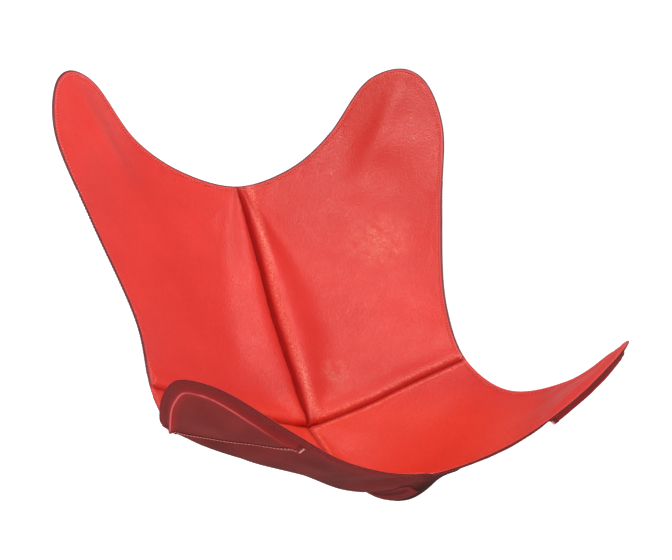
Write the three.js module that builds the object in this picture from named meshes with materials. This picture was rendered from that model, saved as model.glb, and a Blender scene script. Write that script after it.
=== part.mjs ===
// Leather sling of a folding-frame lounge chair, in the shape it hangs in on the frame's four tips.
// Millimetres, +Z up, the sitter faces -Y. The origin is midway between the four lobe tips.
// The right half is worked out and the left half is its mirror image.

import * as THREE from 'three';

// Overall size of the hung sling
const SLING_WIDTH = 766;
const SLING_DEPTH = 710;
const SLING_HEIGHT = 650;

// Leather, thread and the gap between two layers that touch
const PANEL_LEATHER = 3;
const POCKET_LEATHER = 2.2;
const TRIM_LEATHER = 1.2;
const THREAD_WIDTH = 1.4;
const THREAD_HEIGHT = 0.8;
const LAYER_GAP = 0.3;

// Distances from an edge or a seam
const STITCH_INSET = 13;
const HEM_WIDTH = 18;
const TAPE_HALF_WIDTH = 14;
const MOUTH_EDGE_WIDTH = 10;
const TRIM_END_GAP = 1;

// How far the leather hangs away from straight rows between its edges
const BACK_SAG = 22;
const SEAT_SAG = 26;
const BACK_FOLD_HEIGHT = 11;
const SEAT_FOLD_HEIGHT = -10;
const SEAM_FOLD_DISTANCE = 36;
const LOBE_RIDGE_HEIGHT = 7;
const POCKET_ROOM = 16;

// The sag ends this much sooner than the panel does
const SAG_REACH_SHARE = 1.3;

// Where a pocket's mouth lies on the half wave of its bulge
const MOUTH_OPEN_SHARE = 0.25;

// Points of the right-hand rim, from the middle of the top edge round the rear lobe, down the side,
// round the front lobe and to the middle of the front edge.
// Each is a share of half the width, of the depth from the front, and of the height from the lowest point.
const RIM_SHARES = [
  [0, 0.98, 0.685],
  [0.275, 0.985, 0.73],
  [0.48, 1, 0.815],
  [0.685, 0.987, 0.97],
  [0.825, 0.943, 1],
  [0.905, 0.91, 0.97],
  [0.95, 0.856, 0.85],
  [0.855, 0.77, 0.64],
  [0.74, 0.642, 0.385],
  [0.75, 0.56, 0.25],
  [0.8, 0.395, 0.19],
  [0.945, 0.242, 0.245],
  [1, 0.14, 0.325],
  [0.985, 0.082, 0.36],
  [0.875, 0.025, 0.345],
  [0.615, 0.003, 0.245],
  [0.335, 0.025, 0.15],
  [0, 0.04, 0.105],
];
const CROSSING_SHARE = [0, 0.59, 0.1];
const BACK_SEAM_SHARES = [
  CROSSING_SHARE,
  [0, 0.645, 0.17],
  [0, 0.79, 0.36],
  [0, 0.88, 0.515],
  RIM_SHARES[0],
];
const SEAT_SEAM_SHARES = [
  CROSSING_SHARE,
  [0, 0.527, 0.07],
  [0, 0.463, 0.04],
  [0, 0.386, 0.018],
  [0, 0.287, 0.015],
  [0, 0.19, 0.034],
  [0, 0.11, 0.065],
  RIM_SHARES[17],
];
const CROSS_SEAM_SHARES = [
  CROSSING_SHARE,
  [0.3, 0.585, 0.15],
  [0.43, 0.58, 0.18],
  RIM_SHARES[9],
];

// Places on the right-hand rim where a panel changes: its corners, its pocket mouth and its rounded tip.
// Each is a share of the way through the rim's points, 0 at the top edge and 1 at the front edge.
const SIDE_SEAM_SHARE = 9 / 17;
const BACK_STATION_SHARES = {
  topMiddle: 0,
  topMouth: 0.124,
  topTip: 0.188,
  sideTip: 0.341,
  sideMouth: 0.394,
  sideTop: 0.471,
  sideSeam: SIDE_SEAM_SHARE,
};
const SEAT_STATION_SHARES = {
  topMiddle: 1,
  topMouth: 0.906,
  topTip: 0.835,
  sideTip: 0.718,
  sideMouth: 0.629,
  sideTop: 0.588,
  sideSeam: SIDE_SEAM_SHARE,
};
const REAR_TIP_SHARE = 4 / 17;
const FRONT_TIP_SHARE = 13 / 17;

// Mesh counts: rows in each stretch of a panel, columns across it and across a hem,
// and samples along a stretch of the rim
const STRETCH_ROW_COUNTS = [8, 5, 6];
const PANEL_COLUMNS = 12;
const HEM_COLUMNS = 2;
const RIM_SAMPLES = 24;

// A row that meets an edge at a slant is measured as if it met it at this sine at least
const LEAST_SLANT_SHARE = 0.6;

const LEATHER_RED = new THREE.MeshStandardMaterial({ color: '#e0403a', roughness: 0.5, metalness: 0 });
const POCKET_RED = new THREE.MeshStandardMaterial({ color: '#a8322f', roughness: 0.6, metalness: 0 });
const TRIM_RED = new THREE.MeshStandardMaterial({ color: '#c0423f', roughness: 0.6, metalness: 0 });
const THREAD_PINK = new THREE.MeshStandardMaterial({ color: '#f07f78', roughness: 0.7, metalness: 0 });

const pointAt = ([x, y, z]) =>
  new THREE.Vector3((x * SLING_WIDTH) / 2, y * SLING_DEPTH, z * SLING_HEIGHT);
const mix = (a, b, share) => new THREE.Vector3().lerpVectors(a, b, share);
const towards = (from, to, distance) =>
  from.clone().addScaledVector(to.clone().sub(from).normalize(), distance);

const rimKnots = RIM_SHARES.map(pointAt);
const mirroredKnots = rimKnots.slice(1, -1).reverse().map((p) => new THREE.Vector3(-p.x, p.y, p.z));
const rimCurve = new THREE.CatmullRomCurve3([...rimKnots, ...mirroredKnots], true);
const backSeam = new THREE.CatmullRomCurve3(BACK_SEAM_SHARES.map(pointAt));
const seatSeam = new THREE.CatmullRomCurve3(SEAT_SEAM_SHARES.map(pointAt));
const crossSeam = new THREE.CatmullRomCurve3(CROSS_SEAM_SHARES.map(pointAt));

// A place on the right-hand rim, which is the first half of the whole rim
const rimPoint = (share) => rimCurve.getPoint(share / 2);

// The right-hand rim between two of its shares, as a curve of its own
function rimStretch(from, to) {
  const points = [];
  for (let i = 0; i <= RIM_SAMPLES; i += 1) {
    points.push(rimPoint(THREE.MathUtils.lerp(from, to, i / RIM_SAMPLES)));
  }
  return new THREE.CatmullRomCurve3(points);
}

// A panel runs in rows from the cross seam to its rounded tip, in three stretches:
// along the centre seam, along the rim to the pocket mouth, and along the pocket.
function panelStretches(seam, stations) {
  return {
    stretches: [
      { inner: seam, outer: rimStretch(stations.sideSeam, stations.sideTop), lead: TAPE_HALF_WIDTH },
      {
        inner: rimStretch(stations.topMiddle, stations.topMouth),
        outer: rimStretch(stations.sideTop, stations.sideMouth),
        lead: 0,
      },
      {
        inner: rimStretch(stations.topMouth, stations.topTip),
        outer: rimStretch(stations.sideMouth, stations.sideTip),
        lead: MOUTH_EDGE_WIDTH,
      },
    ],
    tip: rimStretch(stations.topTip, stations.sideTip),
  };
}

// How far a curve at a share of its length stands off its own chord
function bowAt(curve, share) {
  return curve.getPointAt(share).sub(mix(curve.getPointAt(0), curve.getPointAt(1), share));
}

// Shares of a stretch's length where its rows lie; a lead puts the first row at a set distance,
// and a tail leaves one at a set distance before the tip
function rowShares(length, count, lead, tail) {
  const first = lead / length;
  const last = 1 - tail;
  const leads = lead > 0 ? 1 : 0;
  const even = count - leads - (tail > 0 ? 1 : 0);
  const shares = leads ? [first] : [];
  for (let i = 1; i <= even; i += 1) {
    shares.push(THREE.MathUtils.lerp(first, last, i / even));
  }
  return tail > 0 ? [...shares, 1] : shares;
}

function panelRows({ stretches, tip }) {
  const tipBow = bowAt(tip, 0.5).length();
  const rows = [
    { inner: crossSeam.getPointAt(0), outer: crossSeam.getPointAt(1), cross: 1, tip: 0, along: 0, onSeam: true },
  ];
  stretches.forEach(({ inner, outer, lead }, index) => {
    const isLast = index === stretches.length - 1;
    const tail = isLast ? STITCH_INSET / (inner.getLength() + 2 * tipBow) : 0;
    const innerShares = rowShares(inner.getLength(), STRETCH_ROW_COUNTS[index], lead, tail);
    const outerShares = rowShares(outer.getLength(), STRETCH_ROW_COUNTS[index], lead, tail);
    innerShares.forEach((share, i) => {
      rows.push({
        inner: inner.getPointAt(share),
        outer: outer.getPointAt(outerShares[i]),
        cross: index === 0 ? (1 - share) ** 2 : 0,
        tip: isLast ? share ** 2 : 0,
        along: (index + share) / stretches.length,
        onSeam: index === 0 && share < 1,
      });
    });
  });
  return rows;
}

// A point on a row before the leather sags
function rowPoint(row, tip, share) {
  return mix(row.inner, row.outer, share)
    .addScaledVector(bowAt(crossSeam, share), row.cross)
    .addScaledVector(bowAt(tip, share), row.tip);
}

// Distance along a row that gives a distance square to the edge
function slantDistance(rows, i, side, distance) {
  const edge = rows[Math.min(i + 1, rows.length - 1)][side]
    .clone()
    .sub(rows[Math.max(i - 1, 0)][side])
    .normalize();
  const across = rows[i].outer.clone().sub(rows[i].inner).normalize();
  const slantShare = Math.max(across.cross(edge).length(), LEAST_SLANT_SHARE);
  return distance / slantShare;
}

// Column shares of one row: edge, stitch line, hem edge, even columns, hem edge, stitch line, edge
function columnShares(rows, i) {
  const row = rows[i];
  const length = row.inner.distanceTo(row.outer);
  const innerSizes = row.onSeam ? [TAPE_HALF_WIDTH, SEAM_FOLD_DISTANCE] : [STITCH_INSET, HEM_WIDTH];
  const innerShares = innerSizes.map((size) => slantDistance(rows, i, 'inner', size) / length);
  const outerShares = [HEM_WIDTH, STITCH_INSET].map(
    (size) => 1 - slantDistance(rows, i, 'outer', size) / length,
  );
  const even = [];
  const evenCount = PANEL_COLUMNS - 4;
  for (let j = 1; j < evenCount; j += 1) {
    even.push(THREE.MathUtils.lerp(innerShares[1], outerShares[0], j / evenCount));
  }
  return [0, ...innerShares, ...even, ...outerShares, 1];
}

// Normals of a grid of points, on the sitter's side
function gridNormals(grid, flip) {
  const side = flip ? -1 : 1;
  return grid.map((row, i) =>
    row.map((point, j) => {
      const across = row[Math.min(j + 1, row.length - 1)].clone().sub(row[Math.max(j - 1, 0)]);
      const before = grid[Math.max(i - 1, 0)][j];
      const after = grid[Math.min(i + 1, grid.length - 1)][j];
      return across.cross(after.clone().sub(before)).multiplyScalar(side).normalize();
    }),
  );
}

// Height of the sag, the fold beside the centre seam and the soft ridge of a lobe
function hangHeight(row, share, { sag, foldHeight }) {
  const along = Math.sin(Math.PI * Math.min(row.along * SAG_REACH_SHARE, 1));
  const belly = -sag * 4 * share * (1 - share) * along;
  const distance = (share * row.inner.distanceTo(row.outer)) / SEAM_FOLD_DISTANCE;
  const foldAlong = Math.sin(Math.PI * Math.min(row.along * 3, 1)) ** 0.5;
  const fold = foldHeight * foldAlong * distance * Math.exp(1 - distance);
  const lobeAlong = Math.sin(Math.PI * Math.max(row.along * 3 - 1, 0) * 0.5);
  const ridge = LOBE_RIDGE_HEIGHT * Math.max(lobeAlong, 0) * Math.sin(Math.PI * share) ** 2;
  return belly + (row.onSeam ? fold : 0) + ridge;
}

// The sitter's side of the right-hand panel: a grid of points with their normals
function panelSurface(outline, hang, flip) {
  const rows = panelRows(outline);
  const shares = rows.map((row, i) => columnShares(rows, i));
  const base = rows.map((row, i) => shares[i].map((share) => rowPoint(row, outline.tip, share)));
  const baseNormals = gridNormals(base, flip);
  const points = base.map((row, i) =>
    row.map((point, j) =>
      point.clone().addScaledVector(baseNormals[i][j], hangHeight(rows[i], shares[i][j], hang)),
    ),
  );
  points[0] = points[0].map((point, j) => towards(point, points[1][j], LAYER_GAP / 2));
  points.forEach((row) => {
    row[0].x = Math.max(row[0].x, LAYER_GAP / 2);
  });
  return { points, normals: gridNormals(points, flip) };
}

// A grid moved off the sitter's side; depth is a distance, or a function of row and column
function offsetGrid({ points, normals }, depth) {
  return points.map((row, i) =>
    row.map((point, j) => {
      const distance = typeof depth === 'function' ? depth(i, j) : depth;
      const moved = point.clone().addScaledVector(normals[i][j], -distance);
      moved.x = Math.max(moved.x, LAYER_GAP / 2);
      return moved;
    }),
  );
}

// Part of a grid, from row to row and from column to column
const cutRows = (grid, from, to) => grid.slice(from, to + 1);
const cutColumns = (grid, from, to) => grid.map((row) => row.slice(from, to + 1));
const cut = (grid, rowFrom, rowTo, columnFrom, columnTo) =>
  cutColumns(cutRows(grid, rowFrom, rowTo), columnFrom, columnTo);

// Pulls the first and last rows of a grid inwards, clear of the trim that they would meet
function shortenGrid(grid, distance) {
  const last = grid.length - 1;
  return grid.map((row, i) => {
    if (i === 0) return row.map((point, j) => towards(point, grid[1][j], distance));
    if (i === last) return row.map((point, j) => towards(point, grid[last - 1][j], distance));
    return row;
  });
}

// One closed body between two grids of the same size.
// Each cell is split from its next column to its next row where splitsBack says so, else the other way,
// so that layers on one another share their facets.
function shell(near, far, splitsBack) {
  const rowCount = near.length;
  const columnCount = near[0].length;
  const positions = [...near.flat(), ...far.flat()].flatMap((p) => [p.x, p.y, p.z]);
  const index = [];
  const farStart = rowCount * columnCount;
  const at = (i, j) => i * columnCount + j;
  for (let i = 0; i < rowCount - 1; i += 1) {
    for (let j = 0; j < columnCount - 1; j += 1) {
      const [a, b, c, d] = [at(i, j), at(i, j + 1), at(i + 1, j + 1), at(i + 1, j)];
      const triangles = splitsBack(i, j) ? [a, b, d, b, c, d] : [a, b, c, a, c, d];
      index.push(...triangles);
      for (let k = 0; k < triangles.length; k += 3) {
        index.push(triangles[k] + farStart, triangles[k + 2] + farStart, triangles[k + 1] + farStart);
      }
    }
  }
  const wall = (a, b) => index.push(a, a + farStart, b + farStart, a, b + farStart, b);
  for (let i = 0; i < rowCount - 1; i += 1) {
    wall(at(i + 1, 0), at(i, 0));
    wall(at(i, columnCount - 1), at(i + 1, columnCount - 1));
  }
  for (let j = 0; j < columnCount - 1; j += 1) {
    wall(at(0, j), at(0, j + 1));
    wall(at(rowCount - 1, j + 1), at(rowCount - 1, j));
  }
  const geometry = new THREE.BufferGeometry();
  geometry.setAttribute('position', new THREE.Float32BufferAttribute(positions, 3));
  geometry.setIndex(signedVolume(positions, index) < 0 ? flipWinding(index) : index);
  return geometry;
}

function signedVolume(positions, index) {
  const corner = (k) => new THREE.Vector3().fromArray(positions, 3 * index[k]);
  let volume = 0;
  for (let k = 0; k < index.length; k += 3) {
    volume += corner(k).dot(corner(k + 1).cross(corner(k + 2))) / 6;
  }
  return volume;
}

const flipWinding = (index) => {
  const flipped = [...index];
  for (let k = 0; k < flipped.length; k += 3) {
    [flipped[k + 1], flipped[k + 2]] = [flipped[k + 2], flipped[k + 1]];
  }
  return flipped;
};

function mirrored(geometry) {
  const copy = geometry.clone().scale(-1, 1, 1);
  copy.setIndex(flipWinding(Array.from(geometry.index.array)));
  return copy;
}

const sling = new THREE.Group();
function addMesh(name, geometry, material) {
  const mesh = new THREE.Mesh(geometry, material);
  mesh.name = name;
  sling.add(mesh);
}
function addPair(name, geometry, material) {
  addMesh(`${name}_right`, geometry, material);
  addMesh(`${name}_left`, mirrored(geometry), material);
}

const SEAM_ROWS = STRETCH_ROW_COUNTS[0];
const MOUTH_ROW = STRETCH_ROW_COUNTS[0] + STRETCH_ROW_COUNTS[1];
const TIP_ROW = MOUTH_ROW + STRETCH_ROW_COUNTS[2];
const LAST_COLUMN = PANEL_COLUMNS;
const TRIM_DEPTH = PANEL_LEATHER + LAYER_GAP;

// How far a pocket stands off the panel: nothing at its stitched rim, most a third of the way in
function pocketDepth(i, j) {
  const columnsIn = Math.max(Math.min(j, LAST_COLUMN - j) - 1, 0);
  const across = Math.sin((Math.PI * columnsIn) / (LAST_COLUMN - 2));
  const inwards = i / (TIP_ROW - MOUTH_ROW - 1);
  const along = Math.sin(Math.PI * THREE.MathUtils.lerp(MOUTH_OPEN_SHARE, 1, Math.min(inwards, 1)));
  return TRIM_DEPTH + POCKET_ROOM * along * across;
}

// Panel cells are split towards the rounded corners of the tip
const splitsBackInPanel = (i, j) => j < PANEL_COLUMNS / 2;
const always = () => true;
const never = () => false;

function addPanel(name, surface) {
  addPair(name, shell(surface.points, offsetGrid(surface, PANEL_LEATHER), splitsBackInPanel), LEATHER_RED);
}

// The pocket under a lobe and the doubled edge of its mouth
function addPocket(name, surface) {
  const lobe = {
    points: cutRows(surface.points, MOUTH_ROW, TIP_ROW),
    normals: cutRows(surface.normals, MOUTH_ROW, TIP_ROW),
  };
  const outside = (i, j) => pocketDepth(i, j) + POCKET_LEATHER;
  const pocket = shell(offsetGrid(lobe, pocketDepth), offsetGrid(lobe, outside), splitsBackInPanel);
  addPair(name, pocket, POCKET_RED);
  const edgeNear = offsetGrid(lobe, (i, j) => outside(i, j) + LAYER_GAP);
  const edgeFar = offsetGrid(lobe, (i, j) => outside(i, j) + LAYER_GAP + TRIM_LEATHER);
  const edge = shell(cutRows(edgeNear, 0, 1), cutRows(edgeFar, 0, 1), splitsBackInPanel);
  addPair(`${name}_mouth_edge`, edge, TRIM_RED);
}

// The turned hem on the underside of one edge, from the last seam to the pocket mouth
function addHem(name, surface, rowFrom, columnFrom, columnTo) {
  const strip = (depth) =>
    shortenGrid(cut(offsetGrid(surface, depth), rowFrom, MOUTH_ROW, columnFrom, columnTo), TRIM_END_GAP);
  const splitsBack = columnFrom === 0 ? always : never;
  addPair(name, shell(strip(TRIM_DEPTH), strip(TRIM_DEPTH + TRIM_LEATHER), splitsBack), TRIM_RED);
}

// Where the stitch line of a panel runs: up its inner rim, round the tip and down its side.
// Each step names a grid point and its neighbours on the outer and inner side of the line.
function threadPath(firstRow, lastRow) {
  const path = [];
  for (let i = firstRow; i < TIP_ROW - 1; i += 1) path.push([i, 1, i, 0, i, 2]);
  path.push([TIP_ROW - 1, 1, TIP_ROW, 0, TIP_ROW - 2, 2]);
  for (let j = 2; j < LAST_COLUMN - 1; j += 1) path.push([TIP_ROW - 1, j, TIP_ROW, j, TIP_ROW - 2, j]);
  path.push([TIP_ROW - 1, LAST_COLUMN - 1, TIP_ROW, LAST_COLUMN, TIP_ROW - 2, LAST_COLUMN - 2]);
  for (let i = TIP_ROW - 2; i >= lastRow; i -= 1) {
    path.push([i, LAST_COLUMN - 1, i, LAST_COLUMN, i, LAST_COLUMN - 2]);
  }
  return path;
}

// A thread along a path, between two grids that lie on the leather and above it
function threadShell(path, near, far) {
  const strip = (grid) =>
    path.map(([i, j, outI, outJ, inI, inJ]) => [
      towards(grid[i][j], grid[outI][outJ], THREAD_WIDTH / 2),
      towards(grid[i][j], grid[inI][inJ], THREAD_WIDTH / 2),
    ]);
  return shell(strip(near), strip(far), always);
}

// The stitch line on the sitter's side of a panel
function addEdgeThread(name, surface) {
  const near = offsetGrid(surface, -LAYER_GAP);
  const far = offsetGrid(surface, -LAYER_GAP - THREAD_HEIGHT);
  addPair(name, threadShell(threadPath(SEAM_ROWS, 1), near, far), THREAD_PINK);
}

// The same stitches where they come out on the underside of a pocket, beyond its mouth edge
function addPocketThread(name, surface) {
  const firstRow = MOUTH_ROW + 2;
  const under = (i, j) => pocketDepth(Math.max(i - MOUTH_ROW, 0), j) + POCKET_LEATHER + LAYER_GAP;
  const near = offsetGrid(surface, under);
  const far = offsetGrid(surface, (i, j) => under(i, j) + THREAD_HEIGHT);
  addPair(name, threadShell(threadPath(firstRow, firstRow), near, far), THREAD_PINK);
}

// Depth below the meeting line of two panels that keeps a tape clear of both, and its direction
function mitre(normalA, normalB) {
  const direction = normalA.clone().add(normalB).normalize();
  return direction.divideScalar(direction.dot(normalA));
}

// The tape under a centre seam, three columns wide
function addCentreTape(name, surface) {
  const flat = (normal) => new THREE.Vector3(-normal.x, normal.y, normal.z);
  const strip = (depth) => {
    const rows = [];
    for (let i = 1; i < SEAM_ROWS; i += 1) {
      const side = surface.points[i][1].clone().addScaledVector(surface.normals[i][1], -depth);
      const normal = surface.normals[i][0];
      const middle = surface.points[i][0].clone().addScaledVector(mitre(normal, flat(normal)), -depth);
      middle.x = 0;
      rows.push([new THREE.Vector3(-side.x, side.y, side.z), middle, side]);
    }
    return shortenGrid(rows, TRIM_END_GAP);
  };
  const onRight = (i, j) => j > 0;
  addMesh(name, shell(strip(TRIM_DEPTH), strip(TRIM_DEPTH + TRIM_LEATHER), onRight), TRIM_RED);
}

// The tape under the right-hand half of the cross seam, from the centre to the side edge
function addCrossTape(name, back, seat) {
  const strip = (depth) =>
    back.points[0].map((point, j) => {
      const clear = (v) => v.setX(Math.max(v.x, LAYER_GAP / 2));
      const direction = mitre(back.normals[0][j], seat.normals[0][j]);
      return [
        clear(back.points[1][j].clone().addScaledVector(back.normals[1][j], -depth)),
        clear(mix(point, seat.points[0][j], 0.5).addScaledVector(direction, -depth)),
        clear(seat.points[1][j].clone().addScaledVector(seat.normals[1][j], -depth)),
      ];
    });
  const splitsBack = (j, side) => (side > 0) === splitsBackInPanel(0, j);
  addPair(name, shell(strip(TRIM_DEPTH), strip(TRIM_DEPTH + TRIM_LEATHER), splitsBack), TRIM_RED);
}

const backHang = { sag: BACK_SAG, foldHeight: BACK_FOLD_HEIGHT };
const seatHang = { sag: SEAT_SAG, foldHeight: SEAT_FOLD_HEIGHT };
const back = panelSurface(panelStretches(backSeam, BACK_STATION_SHARES), backHang, false);
const seat = panelSurface(panelStretches(seatSeam, SEAT_STATION_SHARES), seatHang, true);

addPanel('back_panel', back);
addPanel('seat_panel', seat);
addPocket('rear_pocket', back);
addPocket('front_pocket', seat);
addHem('top_hem', back, SEAM_ROWS, 0, HEM_COLUMNS);
addHem('back_side_hem', back, 1, LAST_COLUMN - HEM_COLUMNS, LAST_COLUMN);
addHem('front_hem', seat, SEAM_ROWS, 0, HEM_COLUMNS);
addHem('seat_side_hem', seat, 1, LAST_COLUMN - HEM_COLUMNS, LAST_COLUMN);
addEdgeThread('back_edge_thread', back);
addEdgeThread('seat_edge_thread', seat);
addPocketThread('rear_pocket_thread', back);
addPocketThread('front_pocket_thread', seat);
addCentreTape('back_seam_tape', back);
addCentreTape('seat_seam_tape', seat);
addCrossTape('cross_seam_tape', back, seat);

const tips = mix(rimPoint(REAR_TIP_SHARE), rimPoint(FRONT_TIP_SHARE), 0.5);
sling.position.set(0, -tips.y, -tips.z);

export default sling;
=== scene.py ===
import math

import bpy
import numpy as np
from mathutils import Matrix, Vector
from mathutils.bvhtree import BVHTree
from numpy.linalg import norm


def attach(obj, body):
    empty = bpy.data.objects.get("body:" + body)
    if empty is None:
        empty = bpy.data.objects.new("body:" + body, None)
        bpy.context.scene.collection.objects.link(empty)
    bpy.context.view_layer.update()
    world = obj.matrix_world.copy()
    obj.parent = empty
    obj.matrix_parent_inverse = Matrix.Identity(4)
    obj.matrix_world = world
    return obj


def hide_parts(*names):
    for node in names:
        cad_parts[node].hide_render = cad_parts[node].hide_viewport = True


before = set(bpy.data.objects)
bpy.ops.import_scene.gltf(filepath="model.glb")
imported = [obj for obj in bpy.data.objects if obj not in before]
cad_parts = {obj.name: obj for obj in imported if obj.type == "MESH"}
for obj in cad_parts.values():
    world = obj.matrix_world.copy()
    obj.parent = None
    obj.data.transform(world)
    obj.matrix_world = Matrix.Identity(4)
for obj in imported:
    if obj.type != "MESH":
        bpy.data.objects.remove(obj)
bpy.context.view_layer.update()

# Leather sling of a butterfly chair, in the shape it hangs in. Metres, +Z up, the sitter faces -Y.
# The sling's surfaces are worked out again from the sizes that its solids were made from.

# Overall size of the hung sling
SLING_WIDTH = 0.766
SLING_DEPTH = 0.71
SLING_HEIGHT = 0.65
SLING_SIZE = np.array([SLING_WIDTH / 2, SLING_DEPTH, SLING_HEIGHT])

# Leather, the gap between two layers that touch, and the gap between the two halves
PANEL_LEATHER = 0.0024
POCKET_LEATHER = 0.0018
TRIM_LEATHER = 0.001
LAYER_GAP = 0.0003
SEAM_GAP = 0.0001
TRIM_DEPTH = PANEL_LEATHER + LAYER_GAP

# Distances from an edge or a seam
STITCH_INSET = 0.013
HEM_WIDTH = 0.018
TAPE_HALF_WIDTH = 0.014
MOUTH_EDGE_WIDTH = 0.01
TRIM_END_GAP = 0.001

# How far the leather hangs away from straight rows between its edges, and where that ends
BACK_SAG = 0.022
SEAT_SAG = 0.026
SAG_REACH_SHARE = 1.3
SAG_FADE = (0.7, 1.15)

# The fold beside each centre seam: its height and crest, and the shape of its wall and fall
BACK_FOLD_HEIGHT = 0.021
BACK_FOLD_CREST = 0.028
SEAT_FOLD_HEIGHT = -0.014
SEAT_FOLD_CREST = 0.036
SEAM_FOLD_DISTANCE = 0.036
WALL_POWER = 1.8
FALL_CRESTS = 1.5
SWELL_POWER = 0.7
LEAST_CREST_SHARE = 0.2

# The soft ridge of a lobe, the room in a pocket and how far its mouth stands open
LOBE_RIDGE_HEIGHT = 0.007
POCKET_ROOM = 0.016
MOUTH_OPEN_SHARE = 0.12

# The right-hand rim, from the middle of the top edge round the rear lobe, down the side,
# round the front lobe and to the middle of the front edge, and the three seams up to it.
# Each point is a share of half the width, of the depth from the front and of the height.
RIM_SHARES = [
    (0, 0.98, 0.685), (0.275, 0.985, 0.73), (0.48, 1, 0.815), (0.685, 0.987, 0.97),
    (0.825, 0.943, 1), (0.905, 0.91, 0.97), (0.95, 0.856, 0.85), (0.855, 0.77, 0.64),
    (0.74, 0.642, 0.385), (0.75, 0.56, 0.25), (0.8, 0.395, 0.19), (0.945, 0.242, 0.245),
    (1, 0.14, 0.325), (0.985, 0.082, 0.36), (0.875, 0.025, 0.345), (0.615, 0.003, 0.245),
    (0.335, 0.025, 0.15), (0, 0.04, 0.105),
]
CROSSING_SHARE = (0, 0.59, 0.1)
BACK_SEAM_SHARES = [CROSSING_SHARE, (0, 0.645, 0.17), (0, 0.79, 0.36), (0, 0.88, 0.515)]
SEAT_SEAM_SHARES = [
    CROSSING_SHARE, (0, 0.527, 0.07), (0, 0.463, 0.04), (0, 0.386, 0.018),
    (0, 0.287, 0.015), (0, 0.19, 0.034), (0, 0.11, 0.065),
]
CROSS_SEAM_SHARES = [CROSSING_SHARE, (0.3, 0.585, 0.15), (0.43, 0.58, 0.18)]

# Where each panel changes along the right-hand rim: 0 at the top edge and 1 at the front edge.
# Inner edge: middle, pocket mouth, tip. Outer edge: cross seam, end of the side, pocket mouth, tip.
SIDE_SEAM_SHARE = 9 / 17
BACK_STATION_SHARES = ((0, 0.124, 0.188), (SIDE_SEAM_SHARE, 0.471, 0.394, 0.341))
SEAT_STATION_SHARES = ((1, 0.906, 0.835), (SIDE_SEAM_SHARE, 0.588, 0.629, 0.718))
REAR_TIP_SHARE = 4 / 17
FRONT_TIP_SHARE = 13 / 17

# Rows that the coarse model has in a panel's first and last stretch, and its columns
SEAM_STRETCH_ROWS = 8
LOBE_STRETCH_ROWS = 6
COLUMN_COUNT = 12
SEAM_STEP = 1 / SEAM_STRETCH_ROWS
LOBE_STEP = 1 / LOBE_STRETCH_ROWS

# Points that curves and lines are measured with
LENGTH_STEPS = 600
RIM_SAMPLES = 24
RIM_LINE_POINTS = 700
SEAM_LINE_POINTS = 200
CROSS_LINE_POINTS = 120

# Points of the whole rim, and over how many of them it is evened out
RIM_POINTS = 3600
RIM_SMOOTHING = 9

# Least length that anything is divided by
TINY = 1e-12


def mix(a, b, share):
    return a + (b - a) * share


def unit(vectors):
    return vectors / np.maximum(norm(vectors, axis=-1, keepdims=True), TINY)


def smooth_step(values, low, high):
    share = np.clip((values - low) / (high - low), 0, 1)
    return share * share * (3 - 2 * share)


def hump(values, middle, width):
    """A smooth bump of height 1 round middle"""
    return np.exp(-(((values - middle) / width) ** 2))


def running_length(points):
    """Length from the start at each point of a line, or of each of a grid's columns"""
    steps = norm(np.diff(points, axis=0), axis=-1)
    return np.concatenate([np.zeros_like(steps[:1]), np.cumsum(steps, axis=0)])


class Curve:
    """A centripetal Catmull-Rom curve, read by parameter or by share of its length"""

    def __init__(self, points, closed=False):
        if closed:
            self.controls = np.vstack([points[-1], points, points[:2]])
        else:
            self.controls = np.vstack([2 * points[0] - points[1], points, 2 * points[-1] - points[-2]])
        self.spans = len(self.controls) - 3
        self.steps = np.linspace(0, 1, LENGTH_STEPS + 1)
        self.lengths = running_length(self.point(self.steps))
        self.length = self.lengths[-1]

    def point(self, t):
        place = np.clip(t, 0, 1) * self.spans
        span = np.minimum(place.astype(int), self.spans - 1)
        w = (place - span)[..., None]
        p0, p1, p2, p3 = (self.controls[span + k] for k in range(4))
        d0, d1, d2 = (
            np.sqrt(norm(b - a, axis=-1, keepdims=True)) for a, b in ((p0, p1), (p1, p2), (p2, p3))
        )
        leave = ((p1 - p0) / d0 - (p2 - p0) / (d0 + d1) + (p2 - p1) / d1) * d1
        arrive = ((p2 - p1) / d1 - (p3 - p1) / (d1 + d2) + (p3 - p2) / d2) * d1
        square = 3 * (p2 - p1) - 2 * leave - arrive
        cube = 2 * (p1 - p2) + leave + arrive
        return p1 + leave * w + square * w**2 + cube * w**3

    def at(self, share):
        return self.point(np.interp(share * self.length, self.lengths, self.steps))

    def bow(self, share):
        """How far the curve stands off its own chord"""
        return self.at(share) - mix(self.at(0.0), self.at(1.0), np.asarray(share, float)[..., None])


KNOTS = np.array(RIM_SHARES) * SLING_SIZE
WHOLE_RIM = Curve(np.vstack([KNOTS, KNOTS[-2:0:-1] * [-1, 1, 1]]), closed=True)
TIP_MIDDLE = mix(WHOLE_RIM.point(REAR_TIP_SHARE / 2), WHOLE_RIM.point(FRONT_TIP_SHARE / 2), 0.5) * [0, 1, 1]


def smooth_rim(points):
    """Evens a closed line out over a few millimetres, so that no corner is left at a knot"""
    offsets = np.arange(-3 * RIM_SMOOTHING, 3 * RIM_SMOOTHING + 1)
    weights = np.exp(-((offsets / RIM_SMOOTHING) ** 2) / 2)
    return sum(np.roll(points, k, axis=0) * w for k, w in zip(offsets, weights)) / weights.sum()


RIM = smooth_rim(WHOLE_RIM.point(np.linspace(0, 1, RIM_POINTS, endpoint=False))) - TIP_MIDDLE


def rim_point(share):
    """A place on the right-hand rim, which is the first half of the whole rim"""
    place = share / 2 * RIM_POINTS
    low = np.floor(place).astype(int)
    return mix(RIM[low % RIM_POINTS], RIM[(low + 1) % RIM_POINTS], (place - low)[..., None])


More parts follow.
